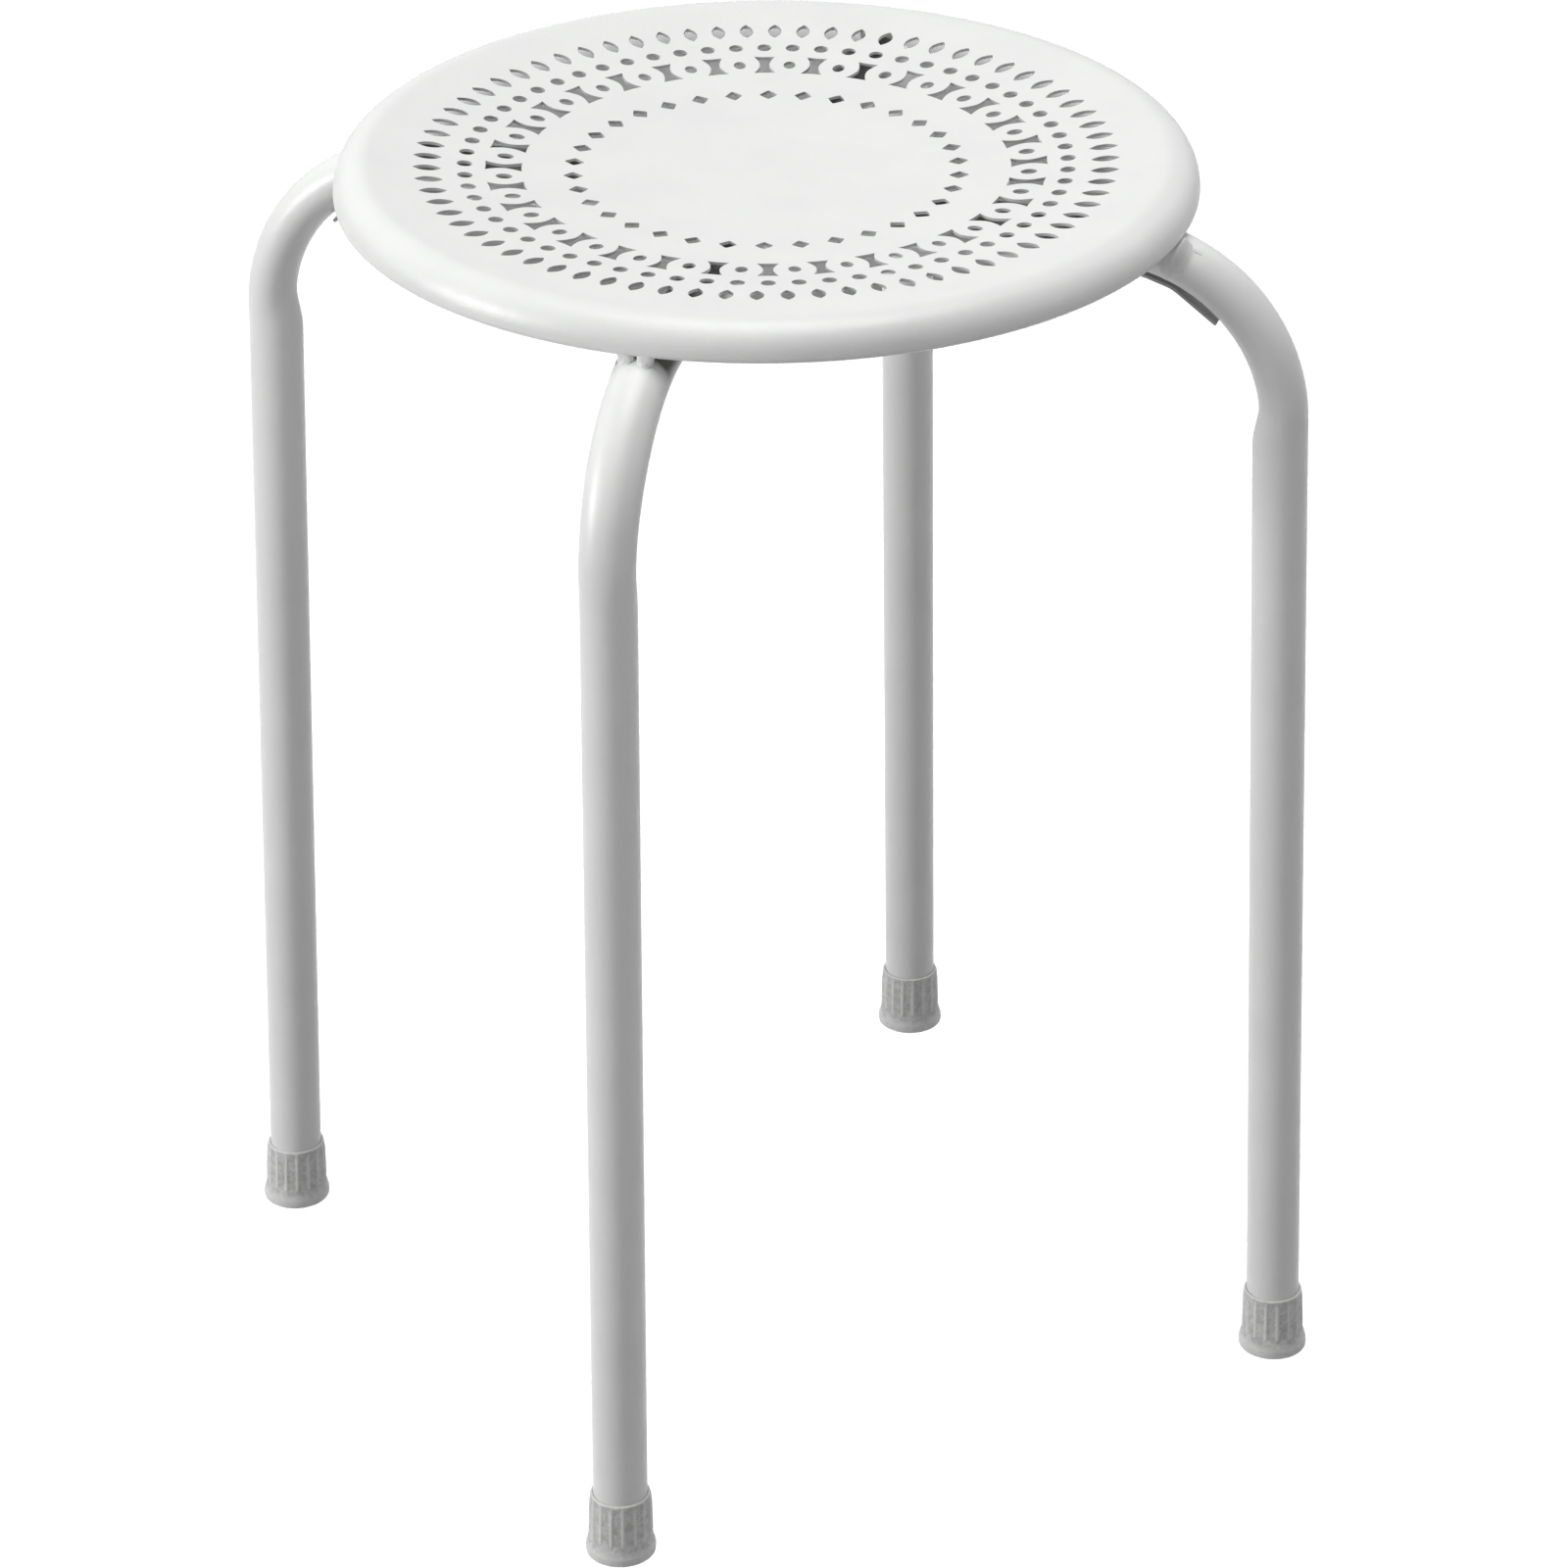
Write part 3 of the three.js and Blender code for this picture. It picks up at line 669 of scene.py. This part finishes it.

# The crests of the ribs are painted pale, a painted highlight on them. The flange and the top are
# painted paler too, each as a share of a crest's paleness.
FLANGE_PALENESS = 0.55
FLANGE_PALENESS_END = CAP_FLANGE_TOP - 1.5
TOP_PALENESS = 0.6
TOP_PALENESS_START = CAP_HEIGHT - 0.4
GROOVE_TONES = ((0.68, 0.685, 0.676, 1.0), (0.44, 0.445, 0.438, 1.0))
PAINTED_PALE_TONE = (0.84, 0.845, 0.835, 1.0)
SCUFF_SCALE = 420.0
SCUFF_RANGE = (0.4, 0.62)
GRAIN_SCALE = 1500.0
GRAIN_STRENGTH = 0.3
GRAIN_HEIGHT = 0.0001
CAP_ROUGHNESS = (0.4, 0.55)
CAP_TRANSLUCENCE = 0.15
CAP_LIGHT_REACH = 0.002


def cap_plastic(name):
    material = bpy.data.materials.new(name)
    material.use_nodes = True
    tree = material.node_tree
    shader = tree.nodes["Principled BSDF"]
    coordinates = tree.nodes.new("ShaderNodeTexCoord")
    scuff = noise_node(tree, coordinates, SCUFF_SCALE, detail=7.0, roughness=0.78)
    worn = remap(tree, scuff, "Fac", *SCUFF_RANGE, 0.0, 1.0)
    groove = blended_colour(tree, worn, "Result", *GROOVE_TONES)
    # paler where the mesh says: a painted highlight on the rib crests, and a paler flange and top
    painted_paleness = tree.nodes.new("ShaderNodeAttribute")
    painted_paleness.attribute_name = "painted_paleness"
    colour = blended_colour(tree, painted_paleness, "Fac", GROOVE_TONES[0], PAINTED_PALE_TONE)
    link(tree, groove, COLOUR_OUT, colour, COLOUR_A)
    link(tree, colour, COLOUR_OUT, shader, "Base Color")
    rough = remap(tree, scuff, "Fac", *HAZE_RANGE, *CAP_ROUGHNESS)
    link(tree, rough, "Result", shader, "Roughness")
    grain = noise_node(tree, coordinates, GRAIN_SCALE, detail=2.0)
    skin = bump_node(tree, grain, "Fac", GRAIN_STRENGTH, GRAIN_HEIGHT)
    link(tree, skin, "Normal", shader, "Normal")
    shader.inputs["Subsurface Weight"].default_value = CAP_TRANSLUCENCE
    shader.inputs["Subsurface Radius"].default_value = (CAP_LIGHT_REACH,) * 3
    shader.inputs["Subsurface Scale"].default_value = 1.0
    return material


def flange_profile():
    """Radius and height from the floor up the flange to the foot of the sleeve."""
    profile = [(CAP_FLANGE_RADIUS - CAP_ROUNDING, 0.0)]
    for i in range(1, CAP_ROUNDING_STEPS + 1):
        angle = math.pi / 2 * i / CAP_ROUNDING_STEPS
        profile.append((CAP_FLANGE_RADIUS - CAP_ROUNDING * (1 - math.sin(angle)),
                        CAP_ROUNDING * (1 - math.cos(angle))))
    return profile + [
        (CAP_FLANGE_RADIUS, CAP_FLANGE_EDGE - 0.5),
        (CAP_FLANGE_RADIUS - 0.1, CAP_FLANGE_EDGE),
        (CAP_FLANGE_RADIUS - 0.3, CAP_FLANGE_EDGE + 0.5),
        (CAP_SLEEVE_RADIUS + 0.35, CAP_FLANGE_TOP - 0.9),
        (CAP_SLEEVE_RADIUS + 0.1, CAP_FLANGE_TOP - 0.3),
        (CAP_SLEEVE_RADIUS, CAP_FLANGE_TOP + 0.4),
    ]


def sleeve_profile():
    """Radius and height up the grooves between the ribs."""
    low, high = CAP_FLANGE_TOP + 0.8, CAP_HEIGHT - 1.1
    profile = []
    for i in range(SLEEVE_STEPS + 1):
        share = i / SLEEVE_STEPS
        profile.append((CAP_SLEEVE_RADIUS + (CAP_TOP_RADIUS - CAP_SLEEVE_RADIUS) * share - RIB_ROOT,
                        low + (high - low) * share))
    return profile


def lip_profile():
    """Radius and height over the rounded lip at the top and down the bore."""
    return [
        (CAP_TOP_RADIUS - 0.2, CAP_HEIGHT - 0.7),
        (CAP_TOP_RADIUS - 0.35, CAP_HEIGHT - 0.25),
        (CAP_TOP_RADIUS - 0.6, CAP_HEIGHT),
        (CAP_BORE_RADIUS + 0.15, CAP_HEIGHT),
        (CAP_BORE_RADIUS, CAP_HEIGHT - 0.25),
        (CAP_BORE_RADIUS, CAP_BASE),
    ]


def raise_ribs(bm, steps, low, high):
    """Push the lines of the sleeve out to ribs between two heights, and note how pale each point is
    painted.
    """
    painted_paleness = bm.verts.layers.float.new("painted_paleness")
    for vertex in bm.verts:
        radius = vertex.co.xy.length
        vertex[painted_paleness] = FLANGE_PALENESS if vertex.co.z < FLANGE_PALENESS_END * MM else 0.0
        if vertex.co.z > TOP_PALENESS_START * MM:
            vertex[painted_paleness] = TOP_PALENESS
        if low < vertex.co.z < high and radius > (CAP_BORE_RADIUS + BORE_MARGIN) * MM:
            step = round(math.atan2(vertex.co.y, vertex.co.x) / (2 * math.pi) * steps)
            fade = min(1.0, RIB_TOP_SHARE + (high - vertex.co.z) / (RIB_FADE * MM))
            # a painted highlight along the crest of each rib
            rib = RIB_SHAPE[step % len(RIB_SHAPE)] * fade
            vertex[painted_paleness] = rib
            grown = (radius + rib * RIB_HEIGHT * MM) / radius
            vertex.co.x *= grown
            vertex.co.y *= grown


def make_cap(turn):
    """A spun profile with its ribs raised and its floor closed, leaning with the leg."""
    sleeve = sleeve_profile()
    bm = bmesh.new()
    steps = RIB_COUNT * len(RIB_SHAPE)
    profile = flange_profile() + sleeve + lip_profile()
    chain = [bm.verts.new((r * MM, 0, z * MM)) for r, z in profile]
    edges = [bm.edges.new(pair) for pair in zip(chain, chain[1:])]
    bmesh.ops.spin(bm, geom=chain + edges, cent=(0, 0, 0), axis=(0, 0, 1), dvec=(0, 0, 0),
                   angle=2 * math.pi, steps=steps, use_merge=True)
    low = (sleeve[0][1] - RIB_END_MARGIN) * MM
    high = (sleeve[-1][1] + RIB_END_MARGIN) * MM
    raise_ribs(bm, steps, low, high)
    rims = [edge for edge in bm.edges if edge.is_boundary]
    bmesh.ops.holes_fill(bm, edges=rims, sides=0)
    for vertex in bm.verts:
        vertex.co.x += (FOOT_RADIUS * MM) - vertex.co.z * math.tan(SPLAY)
    bmesh.ops.rotate(bm, verts=bm.verts, cent=(0, 0, 0), matrix=Matrix.Rotation(turn, 3, "Z"))
    bmesh.ops.recalc_face_normals(bm, faces=bm.faces)
    return bm


grey_plastic = cap_plastic("grey_cap_plastic")
for quarter, side in enumerate(SIDES):
    cap = make_cap(quarter * math.pi / 2)
    put_on_stool(f"{side}_foot_cap", cap, grey_plastic, f"foot_cap_{side}")


# Weld beads: MIG welds laid by hand under the coat, lumpy and rippled. One or two join each
# bend to the rim, one holds the inner end of each strip, and two sit in corners of the
# crossing. The coat is thicker and duller on them.
STRIP_WELD = (2.6, 3.2, 2.0)
CROSSING_WELD = (5.4, 5.4, 5.4)
RIM_SEED, STRIP_SEED, CROSSING_SEED = 1.3, 5.1, 9.7

# A rim weld is a blanket over the bend. Out and reach are its middle and its half width along
# the bend, offset and half_length those round the tube. It is rise high on the bend's ridge
# and web higher at the sides, and hollow thins it out towards its outer end. With a lean of
# 1.0 it rises square to the tube, and with 0.0 straight up.
RIM_WELDS = {
    "right": [
        {"out": -0.5, "reach": 5.2, "half_length": 8.0, "offset": -11.0,
         "rise": 4.4, "web": 2.5, "hollow": 1.6, "lean": 1.0},
        {"out": 3.0, "reach": 3.2, "half_length": 1.1, "offset": -4.6,
         "rise": 0.5, "web": 0.0, "hollow": 0.4, "lean": 1.0},
    ],
    "back": [
        {"out": -1.2, "reach": 3.6, "half_length": 6.4, "offset": 1.0,
         "rise": 4.8, "web": 0.0, "hollow": 1.6, "lean": 1.0},
    ],
    "left": [
        {"out": -1.2, "reach": 3.4, "half_length": 6.8, "offset": 0.0,
         "rise": 4.8, "web": 0.0, "hollow": 1.6, "lean": 1.0},
    ],
    "front": [
        {"out": -1.5, "reach": 2.4, "half_length": 2.7, "offset": 2.4,
         "rise": 4.4, "web": 0.0, "hollow": 1.2, "lean": 1.0},
        {"out": -2.0, "reach": 2.5, "half_length": 3.4, "offset": -4.9,
         "rise": 4.6, "web": 6.0, "hollow": 1.3, "lean": 0.0},
    ],
}

# unevenness of the beads, its heights as shares of a bead's size
LUMP_HEIGHT = 0.13
LUMP_SCALE = 1.6
RIPPLE_HEIGHT = 0.006
RIPPLE_SCALE = 14
ROUGH_HEIGHT = 0.02
ROUGH_SCALE = 3.5


def lumpy(direction, seed):
    """Swelling of a bead in a direction from its middle: lumps, ripples and a rough skin."""
    lump = LUMP_HEIGHT * noise.noise(direction * LUMP_SCALE + Vector((seed, 0, 0)))
    ripple = RIPPLE_HEIGHT * math.sin(direction.y * RIPPLE_SCALE + 2 * direction.x + seed)
    rough = ROUGH_HEIGHT * noise.noise(direction * ROUGH_SCALE + Vector((0, seed, 0)))
    return 1 + lump + ripple + rough


def turned_bead(bm, turn):
    bmesh.ops.rotate(bm, verts=bm.verts, cent=(0, 0, 0), matrix=Matrix.Rotation(turn, 3, "Z"))
    bmesh.ops.recalc_face_normals(bm, faces=bm.faces)
    return bm


def make_drop(centre, radii, seed, turn):
    """A drop of weld metal."""
    bm = bmesh.new()
    bmesh.ops.create_icosphere(bm, subdivisions=5, radius=1.0)
    for vertex in bm.verts:
        direction = vertex.co.normalized()
        swell = lumpy(direction, seed)
        vertex.co = Vector([c + swell * d * r for c, d, r in zip(centre, direction, radii)]) * MM
    return turned_bead(bm, turn)


def make_blankets(welds, seed, turn):
    """Beads that lie over a bend like blankets and run up under the rim."""
    start = math.asin((SEAT_RADIUS - BEND_CENTRE) / (BEND_RADIUS + TUBE_RADIUS))
    bm = bmesh.new()
    for weld in welds:
        for vertex in bmesh.ops.create_icosphere(bm, subdivisions=5, radius=1.0)["verts"]:
            direction = vertex.co.normalized()
            swell = lumpy(direction, seed)
            outward_run = weld["reach"] * direction.x * swell
            around = (weld["offset"] + weld["half_length"] * direction.y * swell) / BEND_HALF_WIDTH
            hollow = (1 - max(direction.x, 0.0)) ** weld["hollow"]
            climb = weld["rise"] + weld["web"] * (1 - math.cos(around))
            height = direction.z * swell * climb * hollow
            slope = start + (weld["out"] + outward_run) / BEND_RADIUS
            sideways = weld["lean"] * height * math.sin(around)
            upward = height * (1 - weld["lean"] + weld["lean"] * math.cos(around))
            out = BEND_RADIUS + BEND_SHIFT + BEND_HALF_DEPTH * math.cos(around) + upward
            vertex.co = Vector((
                BEND_CENTRE + out * math.sin(slope),
                BEND_HALF_WIDTH * math.sin(around) + sideways,
                BEND_LEVEL + out * math.cos(slope),
            )) * MM
    return turned_bead(bm, turn)


weld_coat = powder_coat("weld_powder_coat", peel_strength=0.7, roughness=(0.36, 0.46))
strip_start = (BEND_CENTRE - STRIP_LEAD, 0.0, TUBE_AXIS - TUBE_RADIUS - FIT_GAP - STRIP_THICKNESS / 2)
crossing_corner = (CROSSING_HALF_WIDTH, CROSSING_HALF_WIDTH, TUBE_AXIS)
for quarter, side in enumerate(SIDES):
    turn = quarter * math.pi / 2
    bead = make_blankets(RIM_WELDS[side], quarter + RIM_SEED, turn)
    put_on_stool(f"{side}_rim_bead", bead, weld_coat, f"rim_weld_{side}")
    bead = make_drop(strip_start, STRIP_WELD, quarter + STRIP_SEED, turn)
    put_on_stool(f"{side}_strip_bead", bead, weld_coat, f"strip_weld_{side}")
for quarter in (0, 2):
    side = SIDES[quarter]
    bead = make_drop(crossing_corner, CROSSING_WELD, quarter + CROSSING_SEED, quarter * math.pi / 2)
    put_on_stool(f"{side}_crossing_bead", bead, weld_coat, f"crossing_weld_{side}")


# Studio: the stool stands on a pale sweep under soft light from above and from the left, seen
# as in the photograph. The sweep has a lamp of its own far behind the camera. The shadow of
# the seat from that lamp lies on the floor behind it and shows grey through its holes.
FLOOR_HALF_SIZE = 9.0
FLOOR_TONE = (0.05, 0.05, 0.05, 1.0)
FLOOR_TONE_SEEN = (0.2, 0.2, 0.2, 1.0)
SKY_TONE = (0.165, 0.165, 0.165, 1.0)
SKY_TONE_SEEN = (1.0, 1.0, 1.0, 1.0)
LAMP_DISTANCE = 2.4
LAMP_TARGET = Vector((0.0, 0.0, 0.3))
SEAT_MIDDLE = Vector((0.0, 0.0, 0.445))
SWEEP_LAMP_STRENGTH = 450.0
SWEEP_LAMP_RADIUS = 0.045
SWEEP_LAMP_REACH = 2

# the camera's lens and place, in metres, are fitted to the photograph
camera_data = bpy.data.cameras.new("camera")
camera_data.lens = 148.46
camera_data.sensor_width = 36.0
camera = bpy.data.objects.new("camera", camera_data)
bpy.context.scene.collection.objects.link(camera)
camera.matrix_world = Matrix((
    (0.95946, -0.12850, 0.25083, 0.58664),
    (0.28177, 0.45627, -0.84405, -1.95797),
    (-0.00599, 0.88051, 0.47398, 1.30488),
    (0.0, 0.0, 0.0, 1.0),
))
bpy.context.scene.camera = camera

floor_mesh = bpy.data.meshes.new("floor")
bm = bmesh.new()
bmesh.ops.create_grid(bm, x_segments=1, y_segments=1, size=FLOOR_HALF_SIZE)
bm.to_mesh(floor_mesh)
bm.free()
floor = bpy.data.objects.new("floor", floor_mesh)
bpy.context.scene.collection.objects.link(floor)


def seen_directly(tree):
    """1 for rays from the camera, in a mirror or through glass; 0 for rays that light the stool."""
    rays = tree.nodes.new("ShaderNodeLightPath")
    either = tree.nodes.new("ShaderNodeMath")
    either.operation = "MAXIMUM"
    link(tree, rays, "Is Camera Ray", either, 0)
    link(tree, rays, "Is Glossy Ray", either, 1)
    any_of_them = tree.nodes.new("ShaderNodeMath")
    any_of_them.operation = "MAXIMUM"
    link(tree, either, "Value", any_of_them, 0)
    link(tree, rays, "Is Transmission Ray", any_of_them, 1)
    return any_of_them


floor_paint = bpy.data.materials.new("floor_paint")
floor_paint.use_nodes = True
tree = floor_paint.node_tree
tree.nodes.clear()
surface = tree.nodes.new("ShaderNodeOutputMaterial")
diffuse = tree.nodes.new("ShaderNodeBsdfDiffuse")
tone = blended_colour(tree, seen_directly(tree), "Value", FLOOR_TONE, FLOOR_TONE_SEEN)
link(tree, tone, COLOUR_OUT, diffuse, "Color")
link(tree, diffuse, "BSDF", surface, "Surface")
floor_mesh.materials.append(floor_paint)


def soft_lamp(name, azimuth, elevation, size, watts):
    """A round soft box that faces the stool."""
    azimuth, elevation = math.radians(azimuth), math.radians(elevation)
    level = math.cos(elevation)
    heading = Vector((level * math.cos(azimuth), level * math.sin(azimuth), math.sin(elevation)))
    place = LAMP_TARGET + LAMP_DISTANCE * heading
    data = bpy.data.lights.new(name, "AREA")
    data.shape = "DISK"
    data.size = size
    data.energy = watts
    lamp = bpy.data.objects.new(name, data)
    lamp.location = place
    lamp.rotation_euler = (LAMP_TARGET - place).to_track_quat("-Z", "Y").to_euler()
    bpy.context.scene.collection.objects.link(lamp)


soft_lamp("overhead_lamp", azimuth=0, elevation=88, size=1.8, watts=36)
soft_lamp("left_lamp", azimuth=-150, elevation=15, size=1.0, watts=30)
soft_lamp("back_lamp", azimuth=60, elevation=40, size=1.4, watts=5)
soft_lamp("front_lamp", azimuth=-90, elevation=60, size=1.0, watts=4)

# the lamp of the sweep is twice as far off as the camera, lights only the floor, evenly, and
# only the seat shades it
sweep_lamp_data = bpy.data.lights.new("sweep_lamp", "POINT")
sweep_lamp_data.shadow_soft_size = SWEEP_LAMP_RADIUS
sweep_lamp_data.energy = 1.0
sweep_lamp_data.use_nodes = True
tree = sweep_lamp_data.node_tree
falloff = tree.nodes.new("ShaderNodeLightFalloff")
falloff.inputs["Strength"].default_value = SWEEP_LAMP_STRENGTH
link(tree, falloff, "Constant", tree.nodes["Emission"], "Strength")
sweep_lamp = bpy.data.objects.new("sweep_lamp", sweep_lamp_data)
sweep_lamp.location = SEAT_MIDDLE + SWEEP_LAMP_REACH * (camera.matrix_world.translation - SEAT_MIDDLE)
bpy.context.scene.collection.objects.link(sweep_lamp)
lit_floor = bpy.data.collections.new("lit_by_the_sweep_lamp")
lit_floor.objects.link(floor)
sweep_lamp.light_linking.receiver_collection = lit_floor
shading = bpy.data.collections.new("shades_the_sweep_lamp")
shading.objects.link(seat)
sweep_lamp.light_linking.blocker_collection = shading

world = bpy.data.worlds.new("studio")
bpy.context.scene.world = world
world.use_nodes = True
tree = world.node_tree
sky = tree.nodes["Background"]
sky.inputs["Color"].default_value = SKY_TONE
white = tree.nodes.new("ShaderNodeBackground")
white.inputs["Color"].default_value = SKY_TONE_SEEN
choice = tree.nodes.new("ShaderNodeMixShader")
link(tree, seen_directly(tree), "Value", choice, "Fac")
link(tree, sky, "Background", choice, 1)
link(tree, white, "Background", choice, 2)
link(tree, choice, "Shader", tree.nodes["World Output"], "Surface")

bpy.context.scene.view_settings.view_transform = "Standard"

bpy.context.view_layer.update()
